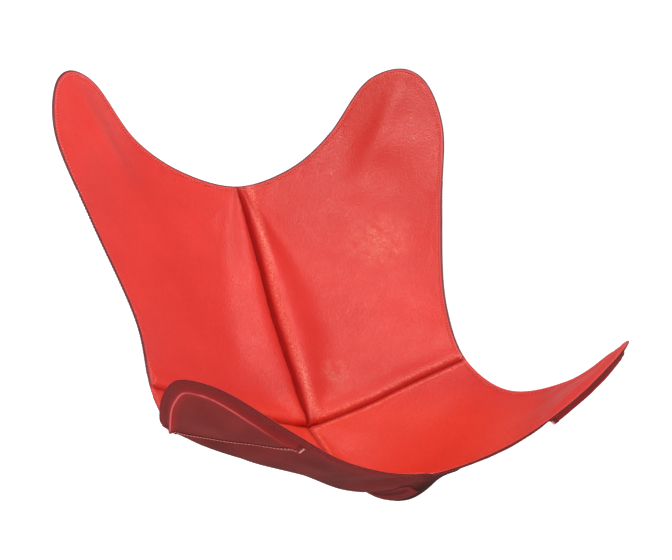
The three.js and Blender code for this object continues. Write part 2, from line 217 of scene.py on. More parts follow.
def seam_curve(shares, rim_share):
    """A seam through points given as shares, which ends at a share of the rim"""
    return Curve(np.vstack([np.array(shares) * SLING_SIZE - TIP_MIDDLE, rim_point(rim_share)]))


def rim_stretch(start, end):
    return Curve(rim_point(np.linspace(start, end, RIM_SAMPLES + 1)))


BACK_SEAM = seam_curve(BACK_SEAM_SHARES, 0)
SEAT_SEAM = seam_curve(SEAT_SEAM_SHARES, 1)
CROSS_SEAM = seam_curve(CROSS_SEAM_SHARES, SIDE_SEAM_SHARE)

# Fine rows and columns of a panel, as distances from the edges that they crowd up to
EDGE_DISTANCES = (
    0, 0.0004, 0.001, 0.002, 0.0035, 0.0055, 0.0063, 0.0069, 0.0075, 0.0081, 0.0087, 0.0098, 0.0115,
)
SEAM_DISTANCES = (0, 0.0005, 0.0012, 0.0022, 0.0035, 0.0055, 0.008, 0.011)
MOUTH_DISTANCES = (0, 0.0005, 0.0015, 0.003, 0.005, 0.0075)
HEM_COLUMN_SHARES = (0, 0.12, 0.25, 0.4, 0.58, 0.78, 0.93)
MIDDLE_COLUMN_STEPS = 7
SEAM_ROW_STEPS = 66
RIM_ROW_STEPS = 44
LOBE_ROW_STEPS = 36

# From which row place on the columns lie as at the rim, and how much a slanting edge may widen them
RIM_COLUMNS_FROM = 0.8
LEAST_SLANT_SHARE = 0.6

# Row places where a new stretch begins, how far along the rows the surface is rounded off there,
# how that fades near the edges, and how often the normals there are evened out
STATIONS = (1, 2)
BRIDGE_ROWS = 0.3
BRIDGE_FADE = 0.05
CORNER_FADE = 0.09
NORMAL_TIMES = 60

# Rows over which the direction away from an end of a grid is taken
SEAM_RUN = 4
TRIM_RUN = 3


def row_places():
    """Places of the fine rows: 0 at the cross seam, 1 at the rim, 2 at the pocket mouth, 3 at the tip"""
    rows = [distance / TAPE_HALF_WIDTH * SEAM_STEP for distance in SEAM_DISTANCES]
    rows += list(np.linspace(SEAM_STEP, 1, SEAM_ROW_STEPS + 1)[:-1])
    rows += list(np.linspace(1, 2, RIM_ROW_STEPS + 1)[:-1])
    rows += [2 + distance / MOUTH_EDGE_WIDTH * LOBE_STEP for distance in MOUTH_DISTANCES]
    rows += list(np.linspace(2 + LOBE_STEP, 3 - LOBE_STEP, LOBE_ROW_STEPS + 1))
    rows += [3 - distance / STITCH_INSET * LOBE_STEP for distance in reversed(EDGE_DISTANCES)]
    return np.array(rows)


def column_places():
    """Places of the fine columns among the coarse ones: 0 at the inner edge and 12 at the outer"""
    half = [distance / STITCH_INSET for distance in EDGE_DISTANCES]
    half += [1 + share for share in HEM_COLUMN_SHARES]
    middle = np.linspace(2, COLUMN_COUNT - 2, (COLUMN_COUNT - 4) * MIDDLE_COLUMN_STEPS + 1)
    return np.array(half + list(middle) + [COLUMN_COUNT - place for place in reversed(half)])


ROWS = row_places()
COLUMNS = column_places()


def row_near(place):
    return int(np.argmin(abs(ROWS - place)))


def column_near(place):
    return int(np.argmin(abs(COLUMNS - place)))


# Rows and columns where trim and pockets end, and where in its mouth edge a pocket is stitched
MOUTH_STITCH_SHARE = 0.75
RIM_ROW, MOUTH_ROW = (row_near(station) for station in STATIONS)
SEAM_END_ROW = row_near(SEAM_STEP)
LAST_SEAM_ROW = row_near(1 - SEAM_STEP)
MOUTH_EDGE_ROW = row_near(2 + LOBE_STEP)
MOUTH_STITCH_ROW = row_near(2 + LOBE_STEP * MOUTH_STITCH_SHARE)
TAPE_COLUMN = column_near(1)
HEM_COLUMN = column_near(2)
MOUTH_END_COLUMN = 9


def quad_normals(grid):
    """Unit normals of a grid of points, from the faces round each"""
    across = grid[:-1, 1:] - grid[1:, :-1]
    along = grid[1:, 1:] - grid[:-1, :-1]
    faces = np.cross(across, along)
    return unit(sum(np.pad(faces, ((a, 1 - a), (b, 1 - b), (0, 0))) for a in (0, 1) for b in (0, 1)))


def even_normals(grid, shares):
    """Normals of a grid, evened out along the rows where a new stretch begins"""
    normals = quad_normals(grid)
    for _ in range(NORMAL_TIMES):
        mean = (normals[:-2] + normals[2:]) / 2
        normals[1:-1] = unit(mix(normals[1:-1], mean, shares[1:-1, :, None] / 2))
    return normals


def distance_to(points, line):
    """Distance from each point of a grid to a line of points"""
    flat = points.reshape(-1, 3)
    nearest = np.full(len(flat), np.inf)
    for a, b in zip(line[:-1], line[1:]):
        side = b - a
        share = np.clip((flat - a) @ side / max(side @ side, TINY), 0, 1)
        nearest = np.minimum(nearest, ((flat - a - share[:, None] * side) ** 2).sum(1))
    return np.sqrt(nearest).reshape(points.shape[:-1])


def bridge(grid, normals, station, shares):
    """Rounds off the crease at a row where a new stretch begins, by moves square to the surface only"""
    first, last = row_near(station - BRIDGE_ROWS), row_near(station + BRIDGE_ROWS)
    part = grid[first:last + 1]
    run = running_length(part)
    u = (run / run[-1])[..., None]
    span = norm(part[-1] - part[0], axis=-1, keepdims=True)
    leave, arrive = (unit(grid[k + 1] - grid[k - 1]) * span for k in (first, last))
    smooth = (
        part[0] * (2 * u**3 - 3 * u**2 + 1) + leave * (u**3 - 2 * u**2 + u)
        + part[-1] * (3 * u**2 - 2 * u**3) + arrive * (u**3 - u**2)
    )
    across = normals[first:last + 1]
    lift = ((smooth - part) * across).sum(-1, keepdims=True) * shares[first:last + 1, :, None]
    grid = grid.copy()
    grid[first:last + 1] += lift * across
    return grid


class Panel:
    """The right-hand half of the back or the seat, as a fine grid on the sitter's side"""

    def __init__(self, seam, stations, sag, fold_height, fold_crest, facing):
        starts, ends = stations
        self.inner = [seam, rim_stretch(starts[0], starts[1]), rim_stretch(starts[1], starts[2])]
        self.outer = [rim_stretch(a, b) for a, b in zip(ends[:-1], ends[1:])]
        self.tip = rim_stretch(starts[2], ends[3])
        self.facing = facing
        tip_bow = norm(self.tip.bow(0.5))
        self.tail = STITCH_INSET / (self.inner[2].length + 2 * tip_bow)
        self.index = np.minimum(ROWS.astype(int), 2)
        self.inner_share = self.shares(self.inner, ROWS)
        self.places, self.row_length = self.column_shares()
        base = self.base()
        off_edge = np.minimum(self.places, 1 - self.places) * self.row_length[:, None]
        off_corner = norm(base - base[RIM_ROW, 0], axis=-1)
        shares = smooth_step(off_edge, 0, BRIDGE_FADE) * smooth_step(off_corner, CORNER_FADE / 3, CORNER_FADE)
        near_station = np.maximum(*(hump(ROWS, k, BRIDGE_ROWS) for k in STATIONS))[:, None] * shares

        def bridged(grid, stations):
            """A grid with its creases rounded off, and its even normals"""
            for station in stations:
                grid = bridge(grid, facing * even_normals(grid, near_station), station, shares)
            return grid, facing * even_normals(grid, near_station)

        points, normals = bridged(base, STATIONS * 2)
        points, normals = bridged(points + normals * self.hang(sag)[..., None], STATIONS)
        points += normals * self.fold(fold_height, fold_crest)[..., None]
        points[0] += unit(points[SEAM_RUN] - points[0]) * SEAM_GAP / 2
        points[..., 0] = np.maximum(points[..., 0], SEAM_GAP / 2)
        self.points = points
        self.normals = facing * quad_normals(self.points)
        self.rim_line = rim_point(np.linspace(starts[0], ends[0], RIM_LINE_POINTS))
        self.rim_distance = distance_to(self.points, self.rim_line)
        self.seam_distance = distance_to(self.points, seam.at(np.linspace(0, 1, SEAM_LINE_POINTS)))
        self.cross_distance = distance_to(self.points, CROSS_SEAM.at(np.linspace(0, 1, CROSS_LINE_POINTS)))

    def shares(self, curves, rows):
        """Shares of each stretch's curve where the rows lie"""
        first_seam, first_lobe = TAPE_HALF_WIDTH / curves[0].length, MOUTH_EDGE_WIDTH / curves[2].length
        index = np.minimum(rows.astype(int), 2)
        within = rows - index
        return np.choose(index, [
            np.interp(within, [0, SEAM_STEP, 1], [0, first_seam, 1]),
            within,
            np.interp(within, [0, LOBE_STEP, 1 - LOBE_STEP, 1], [0, first_lobe, 1 - self.tail, 1]),
        ])

    def side(self, curves, rows):
        """Points of an edge where the rows lie"""
        rows = np.clip(rows, 0, 3)
        shares, index = self.shares(curves, rows), np.minimum(rows.astype(int), 2)
        points = np.empty((len(rows), 3))
        for k, curve in enumerate(curves):
            points[index == k] = curve.at(shares[index == k])
        return points

    def column_shares(self):
        """Shares across each row where the fine columns lie, and the rows' lengths"""
        start, end = self.side(self.inner, ROWS), self.side(self.outer, ROWS)
        length = norm(end - start, axis=1)
        across = unit(end - start)

        def slanted(curves, size):
            edge = unit(self.side(curves, ROWS + SEAM_STEP) - self.side(curves, ROWS - SEAM_STEP))
            slant = norm(np.cross(across, edge), axis=1)
            return size / np.maximum(slant, LEAST_SLANT_SHARE) / length

        on_rim = smooth_step(ROWS, RIM_COLUMNS_FROM, 1)
        first = slanted(self.inner, mix(TAPE_HALF_WIDTH, STITCH_INSET, on_rim))
        second = slanted(self.inner, mix(SEAM_FOLD_DISTANCE, HEM_WIDTH, on_rim))
        last = 1 - slanted(self.outer, STITCH_INSET)
        hem = 1 - slanted(self.outer, HEM_WIDTH)
        coarse = np.array([0, 1, 2, COLUMN_COUNT - 2, COLUMN_COUNT - 1, COLUMN_COUNT])
        rows = zip(first, second, hem, last)
        return np.array([np.interp(COLUMNS, coarse, [0, *row, 1]) for row in rows]), length

    def base(self):
        """The grid before the leather sags"""
        start, end = self.side(self.inner, ROWS)[:, None], self.side(self.outer, ROWS)[:, None]
        share = self.places[..., None]
        cross = np.where(self.index == 0, (1 - self.inner_share) ** 2, 0)[:, None, None]
        tip = np.where(self.index == 2, self.inner_share**2, 0)[:, None, None]
        return mix(start, end, share) + CROSS_SEAM.bow(self.places) * cross + self.tip.bow(self.places) * tip

    def hang(self, sag):
        """Height of the sag and of a lobe's soft ridge"""
        along = ((self.index + self.inner_share) / 3)[:, None]
        reach = along * SAG_REACH_SHARE
        depth = np.sin(np.pi * reach) * (1 - smooth_step(reach, *SAG_FADE))
        belly = -sag * 4 * self.places * (1 - self.places) * depth
        lobe = np.sin(np.pi * np.maximum(along * 3 - 1, 0) * 0.5) ** 2
        return belly + LOBE_RIDGE_HEIGHT * lobe * np.sin(np.pi * self.places) ** 2

    def fold(self, height, crest):
        """Height of the fold beside the centre seam: a steep wall up to a crest, then a long fall"""
        along = np.minimum((self.index + self.inner_share), 1)[:, None]
        swell = np.maximum(np.sin(np.pi * along), 0) ** SWELL_POWER
        distance = self.places * self.row_length[:, None] / (crest * mix(LEAST_CREST_SHARE, 1, swell))
        wall = 1 - np.maximum(1 - distance, 0) ** WALL_POWER
        fall = hump(np.maximum(distance, 1), 1, FALL_CRESTS)
        return np.where(self.index[:, None] == 0, height * swell * wall * fall, 0)


# How far from a seam the layers turn towards its middle plane
TURN_REACH = 0.009


def join_normals(back, seat):
    """Turns the normals near the seams, so that layers on both sides of a seam stay together"""
    shared = unit(back.normals[0] + seat.normals[0])
    for panel in (back, seat):
        near_cross = 1 - smooth_step(panel.cross_distance, 0, TURN_REACH)
        panel.normals = unit(mix(panel.normals, shared, near_cross[..., None]))
        near_seam = 1 - smooth_step(panel.seam_distance, 0, TURN_REACH)
        panel.normals = unit(mix(panel.normals, panel.normals * [0, 1, 1], near_seam[..., None]))


# Soft random waves: how many there are, and how widely their numbers to a length spread
WAVE_COUNT = 16
WAVE_SPREAD = (0.65, 1.5)


def ripples(points, wavelength, seed):
    """Soft random waves of height about 1 over a grid of points"""
    draw = np.random.default_rng(seed)
    directions = unit(draw.normal(size=(WAVE_COUNT, 3)))
    waves = directions * (2 * np.pi / wavelength) * draw.uniform(*WAVE_SPREAD, (WAVE_COUNT, 1))
    phases = draw.uniform(0, 2 * np.pi, WAVE_COUNT)
    return np.sin(points @ waves.T + phases).sum(-1) / math.sqrt(WAVE_COUNT)


def round_off(distance, radius):
    """How far a rounded edge lies below the face that it ends"""
    inside = radius - np.minimum(distance, radius)
    return radius - np.sqrt(np.maximum(radius**2 - inside**2, 0))


# The rounding of leather at its rim, the share of its thickness there, and how far in it is whole
RIM_ROUND = 0.0009
RIM_THICKNESS_SHARE = 0.5
RIM_THIN_REACH = 0.011

# The stitch line, the rim band outside it and the groove that the stitches lie in
STITCH_LINE = 0.0075
BAND_HEIGHT = 0.0006
BAND_SLOPE = 0.003
GROOVE_DEPTH = 0.0009
GROOVE_WIDTH = 0.001

# Soft unevenness: long waves, and short puckers beside the edges. Each fades out towards the edge.
WAVE_HEIGHT = 0.0009
WAVE_LENGTH = 0.1
WAVE_FADE = (0.004, 0.05)
PUCKER_HEIGHT = 0.0005
PUCKER_LENGTH = 0.022
PUCKER_REACH = 0.02
PUCKER_FADE = 0.006

# The valley where the leather turns down into a seam, and how far it and the bulge stay off the rim
VALLEY_DEPTH = 0.0055
VALLEY_REACH = 0.011
SEAT_VALLEY_SHARE = 0.5
RIM_FADE = 0.004

# The rounded lower edge of the back above the cross seam
BULGE_HEIGHT = 0.005
BULGE_CREST = 0.012
BULGE_FALL_CRESTS = 1.6

# The rounded ridge that a frame's bent tip pushes up round a front lobe, from which row to which
TIP_RIDGE_HEIGHT = 0.0045
TIP_RIDGE_INSET = 0.038
TIP_RIDGE_REACH = 0.026
TIP_RIDGE_ROWS = (1.1, 2.4)

# The ridge over a frame's rod along a rear lobe: its place and width as shares of the row,
# and the rows between which it rises and falls
ROD_RIDGE_HEIGHT = 0.006
ROD_RIDGE_PLACE = 0.38
ROD_RIDGE_WIDTH = 0.11
ROD_RIDGE_RISE = (1.2, 1.9)
ROD_RIDGE_FALL = (2.35, 2.95)

# How much higher each half of the seat hangs beside its centre seam, and about which row
SEAT_SLACK = {1: -0.013, -1: 0.007}
SLACK_ROW = 0.68
SLACK_ROWS = 0.28


class Side:
    """A panel dressed for one side of the sling: its top, its underside and its smooth middle"""

    def __init__(self, panel, side, seed):
        turn = [side, 1, 1]
        self.panel, self.side, self.flip = panel, side, side * panel.facing < 0
        self.middle = panel.points * turn
        self.rim = panel.rim_line * turn
        self.normals = panel.normals * turn
        rim, seam, cross = panel.rim_distance, panel.seam_distance, panel.cross_distance
        is_back = panel.facing > 0
        either = np.minimum(seam, cross)
        edge = np.minimum(rim, either)
        band = smooth_step(rim, 0, BAND_SLOPE) * (1 - smooth_step(rim, STITCH_LINE - BAND_SLOPE, STITCH_LINE))
        groove = GROOVE_DEPTH * hump(rim, STITCH_LINE, GROOVE_WIDTH)
        waves = WAVE_HEIGHT * ripples(self.middle, WAVE_LENGTH, seed) * smooth_step(edge, *WAVE_FADE)
        pull = np.exp(-edge / PUCKER_REACH) * smooth_step(edge, 0, PUCKER_FADE)
        puckers = PUCKER_HEIGHT * ripples(self.middle, PUCKER_LENGTH, seed + 1) * pull
        inside_rim = smooth_step(rim, RIM_FADE, STITCH_LINE + RIM_FADE)
        valley_depth = VALLEY_DEPTH * (1 if is_back else SEAT_VALLEY_SHARE)
        valley = valley_depth * np.maximum(1 - either / VALLEY_REACH, 0) ** 2 * inside_rim
        self.soft = waves + puckers - valley
        self.soft += self.bulge(cross) * inside_rim if is_back else self.slack(seam)
        self.thin = mix(RIM_THICKNESS_SHARE, 1, smooth_step(rim, 0, RIM_THIN_REACH))
        ridge = self.soft + (self.rod_ridge() if is_back else self.tip_ridge(rim))
        rounding = round_off(rim, RIM_ROUND)
        self.top = self.raised(ridge + BAND_HEIGHT * band - groove - rounding)
        self.underside = self.raised(ridge - PANEL_LEATHER * self.thin + rounding / 2)

    def bulge(self, cross):
        """Height of the back's rounded lower edge"""
        share = cross / BULGE_CREST
        rise = 1 - np.maximum(1 - share, 0) ** 2
        return BULGE_HEIGHT * rise * hump(np.maximum(share, 1), 1, BULGE_FALL_CRESTS)

    def slack(self, seam):
        """Height of the seat beside its centre seam, where its right half hangs lower than its left"""
        away = seam / SEAT_FOLD_CREST
        return SEAT_SLACK[self.side] * away * np.exp(1 - away) * hump(ROWS, SLACK_ROW, SLACK_ROWS)[:, None]

    def rod_ridge(self):
        """Height over the frame's rod, along the middle of a rear lobe"""
        along = smooth_step(ROWS, *ROD_RIDGE_RISE) * (1 - smooth_step(ROWS, *ROD_RIDGE_FALL))
        return ROD_RIDGE_HEIGHT * along[:, None] * hump(self.panel.places, ROD_RIDGE_PLACE, ROD_RIDGE_WIDTH)

    def tip_ridge(self, rim):
        """Height over the frame's bent tip, round a front lobe"""
        away = np.minimum(abs(rim - TIP_RIDGE_INSET) / TIP_RIDGE_REACH, 1)
        return TIP_RIDGE_HEIGHT * (1 - away**2) ** 2 * smooth_step(ROWS, *TIP_RIDGE_ROWS)[:, None]

    def raised(self, height):
        moved = self.middle + self.normals * height[..., None]
        moved[..., 0] = self.side * np.maximum(self.side * moved[..., 0], SEAM_GAP / 2)
        return moved

    def below(self, depth):
        """A grid at a depth under the sitter's side, which follows its soft waves"""
        return self.raised(self.soft - depth * self.thin)

    def lobe(self, depth):
        """A grid of the lobe at a depth given for each of its points"""
        whole = np.zeros(self.middle.shape[:2])
        whole[MOUTH_ROW:] = depth
        return self.below(whole)[MOUTH_ROW:]


def add_object(name, data):
    item = bpy.data.objects.new(name, data)
    bpy.context.scene.collection.objects.link(item)
    return item


def mesh_object(name, points, faces, materials, slots=None):
    """A smooth mesh in the scene, with the number of the material that each face has"""
    mesh = bpy.data.meshes.new(name)
    mesh.from_pydata(points, [], faces)
    for material in materials:
        mesh.materials.append(material)
    if slots is not None:
        mesh.polygons.foreach_set("material_index", slots)
    mesh.shade_smooth()
    mesh.update()
    return add_object(name, mesh)


def grid_faces(rows, columns):
    """The numbers of a grid's points, and its four-cornered faces"""
    at = np.arange(rows * columns).reshape(rows, columns)
    return at, np.stack([at[:-1, :-1], at[:-1, 1:], at[1:, 1:], at[1:, :-1]], -1).reshape(-1, 4)


def ring_faces(rings, sides, first=0):
    """The numbers of points in closed rings, those of the points after them, and the faces between rings"""
    at = first + np.arange(rings * sides).reshape(rings, sides)
    after = np.roll(at, -1, axis=1)
    return at, after, np.stack([at[:-1], after[:-1], after[1:], at[1:]], -1).reshape(-1, 4).tolist()


def shell_mesh(name, near, far, flip, materials, rim, seam=None):
    """One closed leather piece between two grids of the same size, marked with distances"""
    at, top = grid_faces(*near.shape[:2])
    bottom = top[:, ::-1] + at.size
    walls = [
        np.stack([line[1:], line[:-1], line[:-1] + at.size, line[1:] + at.size], -1)
        for line in (at[::-1, 0], at[:, -1], at[0], at[-1, ::-1])
    ]
    faces = np.vstack([top, bottom, *walls])
    if flip:
        faces = faces[:, ::-1]
    slots = np.zeros(len(faces), np.int32)
    slots[len(top):2 * len(top)] = len(materials) - 1
    points = np.stack([near, far]).reshape(-1, 3)
    piece = mesh_object(name, points.tolist(), faces.tolist(), materials, slots)
    for mark, values in (("rim", rim), ("seam", seam)):
        if values is not None:
            layer = piece.data.attributes.new(mark, "FLOAT", "POINT")
            layer.data.foreach_set("value", np.tile(values.reshape(-1), 2).astype(np.float32))
    return piece


def border_distance(grid):
    """Distance of each point of a strip from the strip's nearest border"""
    along, across = running_length(grid), running_length(grid.transpose(1, 0, 2)).T
    return np.minimum.reduce([along, along[-1] - along, across, across[:, -1:] - across])


# Share of its thickness that a strip of trim keeps at its very edge, and how far in it is whole
EDGE_KEEP_SHARE = 0.3
TRIM_ROUND = 0.0006


def strip_layers(grid_at, depth, thickness):
    """Both sides of a strip below a depth, thinned at its borders so that its edges are rounded"""
    near, far = grid_at(depth), grid_at(depth + thickness)
    middle = (near + far) / 2
    inside = 1 - np.clip(border_distance(middle) / TRIM_ROUND, 0, 1)
    keep = mix(EDGE_KEEP_SHARE, 1, np.sqrt(1 - inside**2))[..., None]
    return middle + (near - middle) * keep, middle + (far - middle) * keep


# A stitch: its length, the step to the next one, its width and how far it stands up.
# Each ring of a stitch has its place along it, its width and its lift, as shares of these.
STITCH_LENGTH = 0.004
STITCH_STEP = 0.0056
STITCH_WIDTH = 0.0015
STITCH_HEIGHT = 0.0011
STITCH_RINGS = (
    (-0.5, 0.35, -0.55), (-0.38, 0.8, 0.0), (-0.15, 1.0, 0.3),
    (0.15, 1.0, 0.3), (0.38, 0.8, 0.0), (0.5, 0.35, -0.55),
)
STITCH_SIDES = 6


def stitch_row(line, normals, start=STITCH_STEP):
    """Points of each stitch along a line that lies on the leather"""
    run = running_length(line)
    places = np.arange(start, run[-1] - start / 2, STITCH_STEP)

    def along(values, places):
        return np.stack([np.interp(places, run, values[:, k]) for k in range(3)], -1)

    half = STITCH_LENGTH / 2
    middle, up = along(line, places), unit(along(normals, places))
    ahead = unit(along(line, places + half) - along(line, places - half))
    aside = unit(np.cross(up, ahead))
    up = np.cross(ahead, aside)
    turns = [2 * math.pi * (k + 0.5) / STITCH_SIDES for k in range(STITCH_SIDES)]
    return np.stack([
        middle + ahead * (place * STITCH_LENGTH) + up * (lift * STITCH_HEIGHT)
        + aside * (math.cos(turn) * width * STITCH_WIDTH / 2)
        + up * (math.sin(turn) * width * STITCH_HEIGHT / 2)
        for place, width, lift in STITCH_RINGS for turn in turns
    ], 1)


def stitches(node, rows):
    """A node's thread as one piece of many single stitches; rows after the first lie on the underside"""
    points = np.concatenate(rows)
    at, _, stitch = ring_faces(len(STITCH_RINGS), STITCH_SIDES)
    stitch += [at[0, ::-1].tolist(), at[-1].tolist()]
    firsts = range(0, len(points) * at.size, at.size)
    faces = [[k + first for k in face] for first in firsts for face in stitch]
    slots = np.repeat(np.arange(len(points)) >= len(rows[0]), len(stitch)).astype(np.int32)
    piece = mesh_object(f"{node}_stitches", points.reshape(-1, 3).tolist(), faces, (THREAD, BOBBIN), slots)
    declare(piece, node)


def inset_line(rim, distance, grid, normals):
    """A line on a grid at a distance inside the rim, with the grid's normals along it"""
    rows, columns = grid.shape[:2]
    tree = BVHTree.FromPolygons(grid.reshape(-1, 3).tolist(), grid_faces(rows, columns)[1].tolist())
    normals = normals.reshape(-1, 3)

    def nearest(point):
        location, _, face, _ = tree.find_nearest(Vector(point))
        row, column = divmod(face, columns - 1)
        return np.array(location), normals[row * columns + column]

    ups = np.array([nearest(point)[1] for point in rim])
    inward = unit(np.cross(ups, unit(np.gradient(rim, axis=0))))
    inward *= np.sign(((grid.reshape(-1, 3).mean(0) - rim) * inward).sum())
    places, ups = zip(*(nearest(point) for point in rim + inward * distance))
    return np.array(places), np.array(ups)


# The pocket's rolled ridge and the bead along its mouth
RIDGE_INSET = 0.0185
RIDGE_WIDTH = 0.0036
RIDGE_HEIGHT = 0.0045
BEAD_HEIGHT = 0.0012
BEAD_WIDTH = 0.0026


def pocket_depth(panel):
    """How far a pocket's inner face lies below the sitter's side of the panel"""
    columns_in = np.maximum(np.minimum(COLUMNS, COLUMN_COUNT - COLUMNS) - 1, 0)
    across = np.sin(np.pi * columns_in / (COLUMN_COUNT - 2))
    inwards = np.clip((ROWS[MOUTH_ROW:] - 2) * LOBE_STRETCH_ROWS / (LOBE_STRETCH_ROWS - 1), 0, 1)
    along = np.sin(np.pi * mix(MOUTH_OPEN_SHARE, 1, inwards))
    ridge = RIDGE_HEIGHT * hump(panel.rim_distance[MOUTH_ROW:], RIDGE_INSET, RIDGE_WIDTH)
    return TRIM_DEPTH + POCKET_ROOM * along[:, None] * across + ridge


def shorten(grid):
    """Pulls the first and last rows of a grid of trim inwards"""
    grid = grid.copy()
    grid[0] += unit(grid[TRIM_RUN] - grid[0]) * TRIM_END_GAP
    grid[-1] += unit(grid[-1 - TRIM_RUN] - grid[-1]) * TRIM_END_GAP
    return grid


# Colours as linear red, green and blue
RED = (0.76, 0.034, 0.026)
DEEP_RED = (0.68, 0.024, 0.018)
WORN_RED = (0.84, 0.11, 0.1)
CREST_SHEEN_AND_WEAR_RED = (0.96, 0.26, 0.19)
SHADED_RED = (0.47, 0.018, 0.012)
LIT_SEAT_RED = (0.84, 0.044, 0.02)
EDGE_SHADE_RED = (0.14, 0.011, 0.022)
SEAM_SHADE_RED = (0.45, 0.011, 0.01)
GROOVE_SHADE_RED = (0.42, 0.018, 0.018)
FLESH_RED = (0.15, 0.016, 0.015)
DEEP_FLESH_RED = (0.11, 0.011, 0.011)
SHADOW_FLESH_RED = (0.036, 0.005, 0.005)
POCKET_RED = (0.185, 0.019, 0.018)
DEEP_POCKET_RED = (0.14, 0.013, 0.013)
TRIM_RED = (0.16, 0.013, 0.013)
MOUTH_HIGHLIGHT_RED = (0.9, 0.26, 0.25)
PAINTED_GLOW_RED = (0.4, 0.016, 0.022)
RIDGE_HIGHLIGHT_RED = (0.72, 0.12, 0.12)
THREAD_RED = (0.92, 0.28, 0.22)
BOBBIN_RED = (0.3, 0.03, 0.03)
FLOOR_WHITE = (0.9, 0.9, 0.9)


class Look:
    """A node material that is built up from a Principled shader"""

    def __init__(self, name, colour, roughness, specular):
        self.painted = (*colour, 1)
        self.material = bpy.data.materials.new(name)
        self.material.use_nodes = True
        self.tree = self.material.node_tree
        self.shader = self.tree.nodes["Principled BSDF"]
        self.put(self.shader, "Roughness", roughness)
        self.put(self.shader, "Specular IOR Level", specular)
        self.place = self.node("ShaderNodeTexCoord").outputs["Object"]

    def node(self, kind, **inputs):
        node = self.tree.nodes.new(kind)
        for name, value in inputs.items():
            self.put(node, name, value)
        return node

    def put(self, node, name, value):
        """Sets a socket, or links it to another one"""
        socket = node.inputs[name]
        if isinstance(value, bpy.types.NodeSocket):
            self.tree.links.new(value, socket)
        else:
            socket.default_value = value

    def axes(self):
        return self.node("ShaderNodeSeparateXYZ", Vector=self.place).outputs

    def noise(self, scale, detail=3.0, distortion=0.0):
        """Soft noise about 0.5, with its scale in waves to a metre"""
        return self.node(
            "ShaderNodeTexNoise", Vector=self.place, Scale=scale, Detail=detail, Distortion=distortion
        ).outputs["Fac"]

    def mapped(self, value, low, high, start=0.0, end=1.0):
        """Goes from start where the value is low to end where it is high"""
        limits = {"From Min": low, "From Max": high, "To Min": start, "To Max": end}
        return self.node("ShaderNodeMapRange", Value=value, **limits).outputs["Result"]

    def fade(self, value, low, high, start=1.0):
        return self.mapped(value, low, high, start, 0.0)

    def math(self, operation, a, b=0.0, kind="ShaderNodeMath"):
        node = self.node(kind)
        node.operation = operation
        self.put(node, 0, a)
        self.put(node, 1, b)
        return node.outputs["Value"]

    def times(self, a, b):
        return self.math("MULTIPLY", a, b)

    def off(self, value, middle):
        """How far a value lies from a middle one"""
        return self.math("ABSOLUTE", self.math("SUBTRACT", value, middle))

    def distance(self, point):
        """Distance from a point of the object"""
        return self.math("DISTANCE", self.place, point, "ShaderNodeVectorMath")

    def paint(self, colour, share):
        """Lays a share of a colour over what is painted so far"""
        node = self.node("ShaderNodeMix")
        node.data_type = "RGBA"
        for socket, value in ((0, share), (6, self.painted), (7, (*colour, 1))):
            self.put(node, socket, value)
        self.painted = node.outputs[2]
        self.put(self.shader, "Base Color", self.painted)

    def mark(self, name):
        """A distance that the mesh carries"""
        node = self.node("ShaderNodeAttribute")
        node.attribute_name = name
        return node.outputs["Fac"]

    def bump(self, height, distance, strength):
        node = self.node("ShaderNodeBump", Height=height, Distance=distance, Strength=strength)
        self.put(self.shader, "Normal", node.outputs["Normal"])

    def crease_lines(self, scale, width):
        """Thin winding lines, 1 on a line and 0 away from it"""
        return self.fade(self.off(self.noise(scale, 4.0, 1.2), 0.5), 0.0, width)


# Heights between which painted shade darkens the back, painted light brightens the seat, the rear lobe gets
# smoother and painted shade darkens the underside of the front, and distances right of the middle over which
# they set in
SHADED_HEIGHTS = (-0.2, 0.16)
SEAT_HEIGHTS = (-0.36, -0.31)
SMOOTH_HEIGHTS = (-0.02, 0.08)
DARK_HEIGHTS = (-0.4, -0.35)
RIGHT_BACK = (0.0, 0.08)
RIGHT_CREST = (0.002, 0.008)
RIGHT_HUMP = (-0.01, 0.01)

# Distances inside the rim: the band that is worn and painted with a highlight, the edge with painted shade,
# and off its line the groove's painted shade
RIM_WEAR_AND_SHEEN_BAND = (STITCH_LINE - 0.003, STITCH_LINE - 0.001)
DARK_EDGE = (0.0024, 0.004)
GROOVE_SHADE = (0.0003, 0.0013)

# The crest beside a centre seam with its painted highlight, and how far from a seam painted shade darkens the
# leather
CREST_PLACE = BACK_FOLD_CREST * 0.75
CREST_REACH = 0.01
SEAM_SHADE_REACH = 0.017

# Places where the leather has creased in use, how far that reaches round each, and its core
WORN_SPOTS = (
    ((0.216, 0.213, -0.092), 0.062), ((0.074, 0.103, -0.3), 0.032), ((0.25, 0.19, -0.06), 0.03),
)
WORN_CORE_SHARE = 0.3

# Distances from the rim of the underside: its edge with painted shade, the flat outside a pocket's ridge with
# painted shade, the painted glow beside the ridge and the painted highlight on its top, and how far out that
# highlight is painted
TURNED_EDGE = 0.0016
POCKET_FLAT = (RIDGE_INSET - 0.004, RIDGE_INSET - 0.002)
GLOW_INSET = RIDGE_INSET + 0.002
GLOW_REACH = (0.001, 0.01)
RIDGE_TOP = (0.0004, 0.0018)
RIDGE_HIGHLIGHT_FROM = (0.25, 0.31)
BEAD_HIGHLIGHT_SPAN = (BEAD_WIDTH, BEAD_WIDTH * 1.6)


